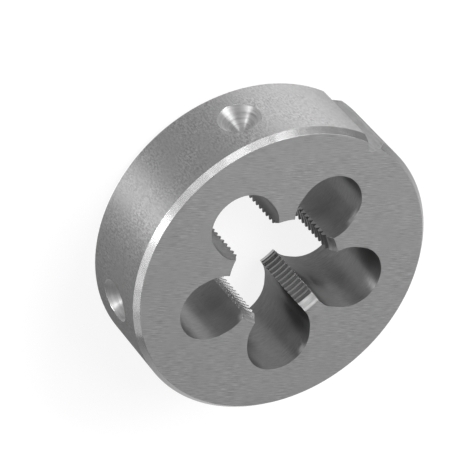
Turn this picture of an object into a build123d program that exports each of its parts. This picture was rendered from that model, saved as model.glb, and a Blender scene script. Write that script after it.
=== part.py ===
# Round threading die: one disc of hardened steel with a threaded bore, clearance holes and clamping seats
from build123d import *
from math import ceil, cos, radians, sin, tan
import os

os.makedirs("parts", exist_ok=True)

# Blank, lying on its back face with the thread axis on Z and the adjusting groove on +X
outer_diameter = 45.0
thickness = 14.0
rim_chamfer_height = 0.9  # along the axis
rim_chamfer_width = 0.7  # along the radius

# Cutting thread
thread_diameter = 16.0
thread_pitch = 1.0
thread_flank_angle = 60.0  # between the two flanks of a groove
thread_crest_share = 0.3  # flat left on each tooth, in pitches
thread_root_share = 0.125  # flat at the bottom of each groove, in pitches
thread_start = 0.7  # height at which a groove passes the rim groove's side, in pitches

# Conical lead at both ends of the thread, which starts the cut
lead_mouth_diameter = 16.9
lead_half_angle = 30.0

# Clearance holes for the chips, each an oval that opens into the bore
hole_count = 5
hole_width = 9.76
hole_stretch = 0.9  # straight run of the oval, along the radius
hole_pitch_diameter = 21.66

# V groove across the rim, in line with the first clearance hole
groove_width = 3.75
groove_angle = 90.0
groove_flat = 0.45

# Conical seats in the rim for the holder's screws, in mirrored pairs measured from the groove
seat_diameter = 6.5
seat_angle = 90.0
seat_tip_diameter = 0.5
adjusting_seat_turn = 48.0
clamping_seat_turn = 135.0

# Sizes that follow
outer_radius = outer_diameter / 2
lead_mouth_radius = lead_mouth_diameter / 2
thread_radius = thread_diameter / 2
flank_slope = tan(radians(thread_flank_angle / 2))
thread_depth = thread_pitch * (1 - thread_crest_share - thread_root_share) / (2 * flank_slope)
bore_radius = thread_radius - thread_depth
lead_depth = (lead_mouth_radius - bore_radius) / tan(radians(lead_half_angle))
overrun = 1.0  # how far a cutter runs past the surface that it enters

# Thread cutter: one V for each turn of the thread, joined behind the crests, as wide as a land
land_turn = 360 / hole_count
cutter_turn = 0.6 * land_turn
cutter_inner_radius = bore_radius - thread_depth / 3
cutter_spine_radius = bore_radius - thread_depth
groove_root_half = thread_pitch * thread_root_share / 2
groove_mouth_half = groove_root_half + (thread_radius - cutter_inner_radius) * flank_slope
groove_count = ceil(thickness / thread_pitch) + 2
with BuildPart() as thread_cutter:
    with BuildLine() as thread_path:
        Helix(pitch=thread_pitch, height=thread_pitch * cutter_turn / 360, radius=thread_radius)
    with BuildSketch(Plane.XZ):
        with BuildLine():
            outline = []
            for groove in range(groove_count):
                height = groove * thread_pitch
                outline += [
                    (cutter_inner_radius, height - groove_mouth_half),
                    (thread_radius, height - groove_root_half),
                    (thread_radius, height + groove_root_half),
                    (cutter_inner_radius, height + groove_mouth_half),
                ]
            outline += [(cutter_spine_radius, outline[-1][1]), (cutter_spine_radius, outline[0][1])]
            Polyline(*outline, close=True)
        make_face()
    sweep(path=thread_path.line, is_frenet=True)

with BuildPart() as die:
    # The disc, turned from its half section
    with BuildSketch(Plane.XZ):
        with BuildLine():
            Polyline(
                (lead_mouth_radius, 0),
                (outer_radius - rim_chamfer_width, 0),
                (outer_radius, rim_chamfer_height),
                (outer_radius, thickness - rim_chamfer_height),
                (outer_radius - rim_chamfer_width, thickness),
                (lead_mouth_radius, thickness),
                (bore_radius, thickness - lead_depth),
                (bore_radius, lead_depth),
                close=True,
            )
        make_face()
    revolve(axis=Axis.Z)

    # Clearance holes, through both faces
    with BuildSketch():
        with PolarLocations(hole_pitch_diameter / 2, hole_count):
            if hole_stretch > 0:
                SlotCenterToCenter(hole_stretch, hole_width)
            else:
                Circle(hole_width / 2)
    extrude(amount=thickness, mode=Mode.SUBTRACT)

    # Thread on the lands between the holes, each land a step further up the helix
    for land in range(hole_count):
        first_turn = (land + 0.5) * land_turn - cutter_turn / 2
        first_height = thread_pitch * ((thread_start + first_turn / 360) % 1 - 1)
        with Locations(Location((0, 0, first_height), (0, 0, first_turn))):
            add(thread_cutter.part, mode=Mode.SUBTRACT)

    # V groove across the rim, as deep as its flanks make it
    groove_edge = (outer_radius**2 - (groove_width / 2) ** 2) ** 0.5
    groove_slope = tan(radians(groove_angle / 2))
    groove_depth = (groove_width - groove_flat) / 2 / groove_slope
    groove_mouth = groove_width / 2 + overrun * groove_slope
    with BuildSketch():
        with BuildLine():
            Polyline(
                (groove_edge - groove_depth, -groove_flat / 2),
                (groove_edge + overrun, -groove_mouth),
                (groove_edge + overrun, groove_mouth),
                (groove_edge - groove_depth, groove_flat / 2),
                close=True,
            )
        make_face()
    extrude(amount=thickness, mode=Mode.SUBTRACT)

    # Conical seats round the rim, halfway up it
    seat_slope = tan(radians(seat_angle / 2))
    seat_depth = (seat_diameter - seat_tip_diameter) / 2 / seat_slope
    for turn in (adjusting_seat_turn, clamping_seat_turn, -clamping_seat_turn, -adjusting_seat_turn):
        outward = Vector(cos(radians(turn)), sin(radians(turn)), 0)
        tip = outward * (outer_radius - seat_depth) + Vector(0, 0, thickness / 2)
        with Locations(Plane(origin=tip, z_dir=outward)):
            Cone(
                seat_tip_diameter / 2,
                seat_diameter / 2 + overrun * seat_slope,
                seat_depth + overrun,
                align=(Align.CENTER, Align.CENTER, Align.MIN),
                mode=Mode.SUBTRACT,
            )

die.part.label = "threading_die"
export_step(die.part, "parts/threading_die.step")
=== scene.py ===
import bpy
from math import cos, pi, radians, sin, tan
from mathutils import Matrix, Vector


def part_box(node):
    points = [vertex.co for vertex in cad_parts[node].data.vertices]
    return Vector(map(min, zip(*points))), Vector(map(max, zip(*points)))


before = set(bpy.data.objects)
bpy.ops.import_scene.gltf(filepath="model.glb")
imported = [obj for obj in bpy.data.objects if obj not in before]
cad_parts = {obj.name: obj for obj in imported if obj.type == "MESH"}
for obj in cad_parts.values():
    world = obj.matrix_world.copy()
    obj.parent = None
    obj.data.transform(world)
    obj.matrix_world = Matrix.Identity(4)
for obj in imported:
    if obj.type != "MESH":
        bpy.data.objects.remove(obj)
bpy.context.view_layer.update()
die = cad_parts["threading_die"]
mm = 0.001

# The die lies on its back face, with the thread axis on Z and the adjusting groove on +X
frontCentre = Vector((0, 0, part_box("threading_die")[1].z))
dieMiddle = frontCentre / 2

# Where the photo was taken from, and which ways its right, its top and its depth point
photoCamera = {
    "right": (0.56921, -0.69056, 0.44623),
    "up": (0.79727, 0.33099, -0.50478),
    "away": (-0.20088, -0.64310, -0.73897),
    "fromFront": (105.1, 341.7, 380.4),  # mm, from the middle of the front face
    "lens": 287.9,  # mm
    "sensor": 36.0,  # mm
}


def placeCamera(setup):
    bpy.ops.object.camera_add()
    camera = bpy.context.object
    camera.name = "photoCamera"
    right, up, away = (Vector(setup[key]) for key in ("right", "up", "away"))
    spot = frontCentre + Vector(setup["fromFront"]) * mm
    turned = Matrix((right, up, -away)).transposed().to_4x4()
    camera.matrix_world = Matrix.Translation(spot) @ turned
    camera.data.lens = setup["lens"]
    camera.data.sensor_width = setup["sensor"]
    bpy.context.scene.camera = camera


placeCamera(photoCamera)
print("camera stands")


# Short ways to wire a material
def feed(tree, socket, value):
    if isinstance(value, bpy.types.NodeSocket):
        tree.links.new(value, socket)
    else:
        socket.default_value = value


def addNode(tree, kind, inputs, **settings):
    new = tree.nodes.new("ShaderNode" + kind)
    for name, value in settings.items():
        setattr(new, name, value)
    for socket, value in inputs.items():
        feed(tree, new.inputs[socket], value)
    return new


def sums(tree, operation, *values):
    return addNode(tree, "Math", dict(enumerate(values)), operation=operation).outputs[0]


def vectors(tree, operation, *values):
    inputs = dict(enumerate(values))
    if operation == "SCALE":
        inputs = {0: values[0], "Scale": values[1]}
    new = addNode(tree, "VectorMath", inputs, operation=operation)
    return new.outputs["Value" if operation == "LENGTH" else "Vector"]


def split(tree, vector):
    return addNode(tree, "SeparateXYZ", {0: vector}).outputs


def join(tree, *parts):
    return addNode(tree, "CombineXYZ", dict(enumerate(parts))).outputs[0]


def rise(tree, value, start, end):
    span = {"Value": value, "From Min": start, "From Max": end}
    return addNode(tree, "MapRange", span, interpolation_type="SMOOTHSTEP").outputs["Result"]


def grain(tree, spot, detail=3.0, rough=0.6):
    inputs = {"Vector": spot, "Scale": 1.0, "Detail": detail, "Roughness": rough}
    swing = addNode(tree, "TexNoise", inputs).outputs["Fac"]
    return sums(tree, "SUBTRACT", swing, 0.5)


# What tells the die's surfaces apart. All pairs but the seats' turns are the start and the end of
# a soft change. Lean is how far a surface faces along the axis: 0 on an upright wall, 1 on a face
dieSurfaces = {
    "seatTurns": (48, 135),  # degrees from the groove, to both sides of it
    "outer": (18.0, 18.5),  # mm from the axis, between the clearance holes and the seats
    "round": (22.44, 22.47),  # mm from the axis, just inside the disc's round surface
    "seat": (3.7, 3.8),  # mm from a seat's axis
    "groove": (2.1, 2.2),  # mm to each side of the groove's middle
    "thread": (8.0, 8.03),  # mm from the axis
    "lead": (8.5, 8.6),  # mm from the axis
    "wallLean": (0.2, 0.4),
    "coneLean": (0.3, 0.4),
    "flankLean": (0.6, 0.65),
    "seatLean": (0.75, 0.8),
    "faceLean": (0.97, 0.99),
}

# Each surface's finish and colour: how bright and how rough it is, how much its tool marks show in the
# brightness, how deep they are in mm, and how closely they lie along the three ways of their
# pattern, in marks per mm. The colours hold painted light: the seats and the lead are brighter
# for painted highlights, and the hole walls are darker for painted shade
steelFinishAndPaintedLight = {
    "drawnOut": 0.9,  # how far the marks draw a highlight out across themselves
    "grindTurn": 112.5,  # degrees from the groove, the way in which the faces were ground
    "edge": 0.05,  # mm, how far the sharp edges are broken
    "cloud": 0.14,  # how far the steel's brightness drifts from place to place
    "cloudRough": 0.06,  # the same for its roughness
    "cloudsPerMm": 0.9,
    "patch": 3.5,  # how far the marks come and go from place to place
    "patchesPerMm": 0.25,
    "surfaces": {
        "face": {"colour": 0.216, "rough": 0.42, "shade": 1.0, "depth": 0.001, "marks": (0.6, 9, 0)},
        "rim": {"colour": 0.265, "rough": 0.62, "shade": 1.2, "depth": 0.004, "marks": (5, 5, 2.2)},
        "chamfer": {"colour": 0.29, "rough": 0.22, "shade": 0.2, "depth": 0, "marks": (5, 5, 5)},
        "groove": {"colour": 0.265, "rough": 0.4, "shade": 1.2, "depth": 0.003, "marks": (6, 6, 0.8)},
        # the seats' colour, about twice the rim's, is a painted highlight
        "seat": {"colour": 0.48, "rough": 0.62, "shade": 0.9, "depth": 0.003, "marks": (4.5, 0.3, 0.3)},
        # the hole walls get the darkest colour: painted shade in the holes
        "hole": {"colour": 0.19, "rough": 0.42, "shade": 0.5, "depth": 0.001, "marks": (1, 1, 4)},
        "thread": {"colour": 0.25, "rough": 0.38, "shade": 0.6, "depth": 0.001, "marks": (0.5, 0.5, 8)},
        # the lead's colour, about twice the thread's, is a painted highlight; its rings are tool marks
        "lead": {"colour": 0.48, "rough": 0.35, "shade": 2.0, "depth": 0.002, "marks": (0.3, 0.3, 2.4)},
    },
}


def findSurfaces(tree, spot, normal, shape):
    def over(value, key):
        return rise(tree, value, *shape[key])

    def under(value, key):
        return rise(tree, value, *reversed(shape[key]))

    def both(*shares):
        whole = shares[0]
        for share in shares[1:]:
            whole = sums(tree, "MULTIPLY", whole, share)
        return whole

    def notThat(share):
        return sums(tree, "SUBTRACT", 1.0, share)

    x, y, z = split(tree, spot)
    radius = vectors(tree, "LENGTH", vectors(tree, "MULTIPLY", spot, (1, 1, 0)))
    lean = sums(tree, "ABSOLUTE", split(tree, normal)[2])
    fromGroove = sums(tree, "ABSOLUTE", y)
    ahead = sums(tree, "GREATER_THAN", x, 0.0)

    # The seats lie in mirrored pairs, so one side is folded onto the other
    adjusting, clamping = (radians(turn) for turn in shape["seatTurns"])
    folded = join(tree, x, fromGroove, sums(tree, "SUBTRACT", z, dieMiddle.z / mm))
    axisX = sums(tree, "MULTIPLY_ADD", ahead, cos(adjusting) - cos(clamping), cos(clamping))
    axisY = sums(tree, "MULTIPLY_ADD", ahead, sin(adjusting) - sin(clamping), sin(clamping))
    inward = vectors(tree, "PROJECT", folded, join(tree, axisX, axisY))
    seatRing = vectors(tree, "LENGTH", vectors(tree, "SUBTRACT", folded, inward))
    seatAxis = join(tree, axisX, sums(tree, "MULTIPLY", axisY, sums(tree, "SIGN", y)))

    face = over(lean, "faceLean")
    outside = over(radius, "outer")
    below = under(radius, "round")
    steep = under(lean, "wallLean")
    seat = both(outside, below, under(seatRing, "seat"), under(lean, "seatLean"))
    groove = both(steep, below, outside, under(fromGroove, "groove"), ahead)
    rim = both(outside, steep, notThat(below))
    chamfer = both(outside, notThat(face), notThat(rim), notThat(groove), notThat(seat))

    # The lead is a cone, less steep than the flanks of the teeth
    inside = notThat(outside)
    slope = both(under(radius, "lead"), over(lean, "coneLean"))
    lead = both(inside, slope, under(lean, "flankLean"))
    teeth = sums(tree, "MAXIMUM", under(radius, "thread"), slope)
    thread = both(inside, teeth, notThat(face), notThat(lead))
    hole = both(inside, notThat(face), notThat(thread), notThat(lead))
    shares = {
        "face": face,
        "rim": rim,
        "chamfer": chamfer,
        "groove": groove,
        "seat": seat,
        "hole": hole,
        "thread": thread,
        "lead": lead,
    }
    return shares, seatRing, seatAxis


def groundSteel(look, shape):
    steel = bpy.data.materials.new("groundToolSteel")
    steel.use_nodes = True
    tree = steel.node_tree
    bsdf = tree.nodes["Principled BSDF"]
    place = tree.nodes.new("ShaderNodeTexCoord")
    spot = vectors(tree, "SCALE", place.outputs["Object"], 1 / mm)
    normal = place.outputs["Normal"]
    shares, seatRing, seatAxis = findSurfaces(tree, spot, normal, shape)
    surfaces = look["surfaces"]

    def each(key):
        total = 0.0
        for name, share in shares.items():
            total = sums(tree, "MULTIPLY_ADD", share, surfaces[name][key], total)
        return total

    # The pattern's own ways: turned to the grinding strokes on a face, round its axis in a seat
    grind = {"Vector": spot, "Angle": -radians(look["grindTurn"])}
    turned = addNode(tree, "VectorRotate", grind, rotation_type="Z_AXIS").outputs[0]
    spotX, _, spotZ = split(tree, spot)
    rings = join(tree, seatRing, spotX, spotZ)
    ways = (0, 0, 0)
    for name, share in shares.items():
        own = {"face": turned, "seat": rings}.get(name, spot)
        marks = vectors(tree, "MULTIPLY", own, surfaces[name]["marks"])
        ways = vectors(tree, "ADD", ways, vectors(tree, "SCALE", marks, share))
    cloud = grain(tree, vectors(tree, "SCALE", spot, look["cloudsPerMm"]))
    patch = grain(tree, vectors(tree, "SCALE", spot, look["patchesPerMm"]), detail=2.0, rough=0.5)
    strength = sums(tree, "MULTIPLY_ADD", patch, look["patch"], 1.0)
    strokes = sums(tree, "MULTIPLY", grain(tree, ways), strength)

    height = sums(tree, "MULTIPLY", strokes, each("depth"))
    broken = addNode(tree, "Bevel", {"Radius": look["edge"] * mm}, samples=6).outputs[0]
    bumps = {"Height": height, "Distance": mm, "Normal": broken}
    feed(tree, bsdf.inputs["Normal"], addNode(tree, "Bump", bumps).outputs[0])

    tone = sums(tree, "MULTIPLY_ADD", strokes, each("shade"), 1.0)
    tone = sums(tree, "MULTIPLY_ADD", cloud, look["cloud"], tone)
    # each surface's colour, with the painted highlights of seats and lead and the painted shade of the
    # holes
    tone = sums(tree, "MULTIPLY", tone, each("colour"))
    grey = addNode(tree, "CombineColor", {0: tone, 1: tone, 2: tone}).outputs[0]
    feed(tree, bsdf.inputs["Base Color"], grey)
    rough = sums(tree, "MULTIPLY_ADD", cloud, look["cloudRough"], each("rough"))
    feed(tree, bsdf.inputs["Roughness"], rough)
    bsdf.inputs["Metallic"].default_value = 1

    # Highlights are drawn out across the marks: along the axis, on a face across the strokes, and
    # in a seat down its cone. The strokes' share is small and counts only where the axis has none
    turn = radians(look["grindTurn"] + 90)
    strokeShare = 0.05
    upward = (strokeShare * cos(turn), strokeShare * sin(turn), 1.0)
    elsewhere = sums(tree, "SUBTRACT", 1.0, shares["seat"])
    across = vectors(tree, "SCALE", seatAxis, shares["seat"])
    across = vectors(tree, "ADD", across, vectors(tree, "SCALE", upward, elsewhere))
    flat = vectors(tree, "SUBTRACT", across, vectors(tree, "PROJECT", across, normal))
    feed(tree, bsdf.inputs["Tangent"], vectors(tree, "NORMALIZE", flat))
    bsdf.inputs["Anisotropic"].default_value = look["drawnOut"]
    return steel


die.material_slots[0].material = groundSteel(steelFinishAndPaintedLight, dieSurfaces)
print("steel finished")


# A white table under soft lamps: where each lamp stands in degrees, how wide and how high the
# die sees it in degrees, and how bright it is, where 1 is white. The backBox is there for the
# views from behind. A row of small lamps bends round the die, highest in the middle, and fades
# towards its ends
studio = {
    "floorSize": 6.0,  # m
    "floorGap": 0.00001,  # m, keeps the floor clear of the back face
    "floorColour": 0.93,
    "floorShine": 0.85,  # how much of the floor is plain white to the eye and in mirror images
    "roomLight": 0.18,
    "reach": 0.8,  # m, from the die to a lamp
    "lamps": {
        "overhead": {"azimuth": 350, "elevation": 52, "width": 50, "height": 34, "bright": 3.8},
        "rightBox": {"azimuth": 354, "elevation": 38, "width": 40, "height": 13, "bright": 13.4},
        "farBox": {"azimuth": 323, "elevation": 34, "width": 22, "height": 13, "bright": 7.8},
        "leftBox": {"azimuth": 120, "elevation": 40, "width": 26, "height": 22, "bright": 1.2},
        "leftStrip": {"azimuth": 109, "elevation": 4, "width": 18, "height": 7, "bright": 44.0},
        "frontStrip": {"azimuth": 72, "elevation": 12, "width": 14, "height": 8, "bright": 3.2},
        "backBox": {"azimuth": 272, "elevation": 26, "width": 36, "height": 18, "bright": 2.5},
    },
    "row": {
        "first": 4,  # the first lamp's azimuth
        "step": 14,
        "overlap": 0.5,
        "middle": 74,
        "crown": 28.2,  # the highest lamp's elevation
        "bend": 0.76,  # how soon the row comes down to its sides
        "height": 10,
        "bright": (0.3, 1.5, 4.8, 7.0, 5.4, 4.1, 4.1, 4.5, 4.8, 4.6, 4.2, 3.2, 1.9),
    },
}


def layFloor(setup):
    bpy.ops.mesh.primitive_plane_add(size=setup["floorSize"], location=(0, 0, -setup["floorGap"]))
    floor = bpy.context.object
    floor.name = "floor"
    paper = bpy.data.materials.new("whitePaper")
    paper.use_nodes = True
    tree = paper.node_tree
    bsdf = tree.nodes["Principled BSDF"]
    bsdf.inputs["Base Color"].default_value = [setup["floorColour"]] * 3 + [1]
    bsdf.inputs["Roughness"].default_value = 1.0
    bsdf.inputs["Specular IOR Level"].default_value = 0.0
    light = tree.nodes.new("ShaderNodeLightPath").outputs
    seen = sums(tree, "MAXIMUM", light["Is Camera Ray"], light["Is Glossy Ray"])
    seen = sums(tree, "MAXIMUM", seen, light["Is Transmission Ray"])
    share = sums(tree, "MULTIPLY", seen, setup["floorShine"])
    white = addNode(tree, "Emission", {"Color": (1, 1, 1, 1), "Strength": 1.0}).outputs[0]
    mixed = addNode(tree, "MixShader", {0: share, 1: bsdf.outputs[0], 2: white}).outputs[0]
    feed(tree, tree.nodes["Material Output"].inputs["Surface"], mixed)
    floor.data.materials.append(paper)


def hangLamp(name, reach, azimuth, elevation, width, height, bright):
    turn, tilt = radians(azimuth), radians(elevation)
    way = Vector((cos(tilt) * cos(turn), cos(tilt) * sin(turn), sin(tilt)))
    bpy.ops.object.light_add(type="AREA", location=dieMiddle + way * reach)
    lamp = bpy.context.object
    lamp.name = name
    lamp.rotation_euler = way.to_track_quat("Z", "Y").to_euler()
    lamp.data.shape = "RECTANGLE"
    lamp.data.size = 2 * reach * tan(radians(width / 2))
    lamp.data.size_y = 2 * reach * tan(radians(height / 2))
    lamp.data.energy = bright * pi * lamp.data.size * lamp.data.size_y


def hangLamps(setup):
    reach, row = setup["reach"], setup["row"]
    for name, values in setup["lamps"].items():
        hangLamp(name, reach, **values)
    for place, bright in enumerate(row["bright"]):
        azimuth = row["first"] + row["step"] * place
        elevation = row["crown"] * cos(radians(row["bend"] * (azimuth - row["middle"])))
        width = row["step"] * cos(radians(elevation)) + row["overlap"]
        hangLamp(f"row{place + 1}", reach, azimuth, elevation, width, row["height"], bright)


def fillRoom(setup):
    room = bpy.data.worlds.new("room")
    room.use_nodes = True
    sky = room.node_tree.nodes["Background"].inputs
    sky["Color"].default_value = (1, 1, 1, 1)
    sky["Strength"].default_value = setup["roomLight"]
    bpy.context.scene.world = room


layFloor(studio)
hangLamps(studio)
fillRoom(studio)
print("studio lit")

bpy.context.scene.view_settings.view_transform = "Standard"
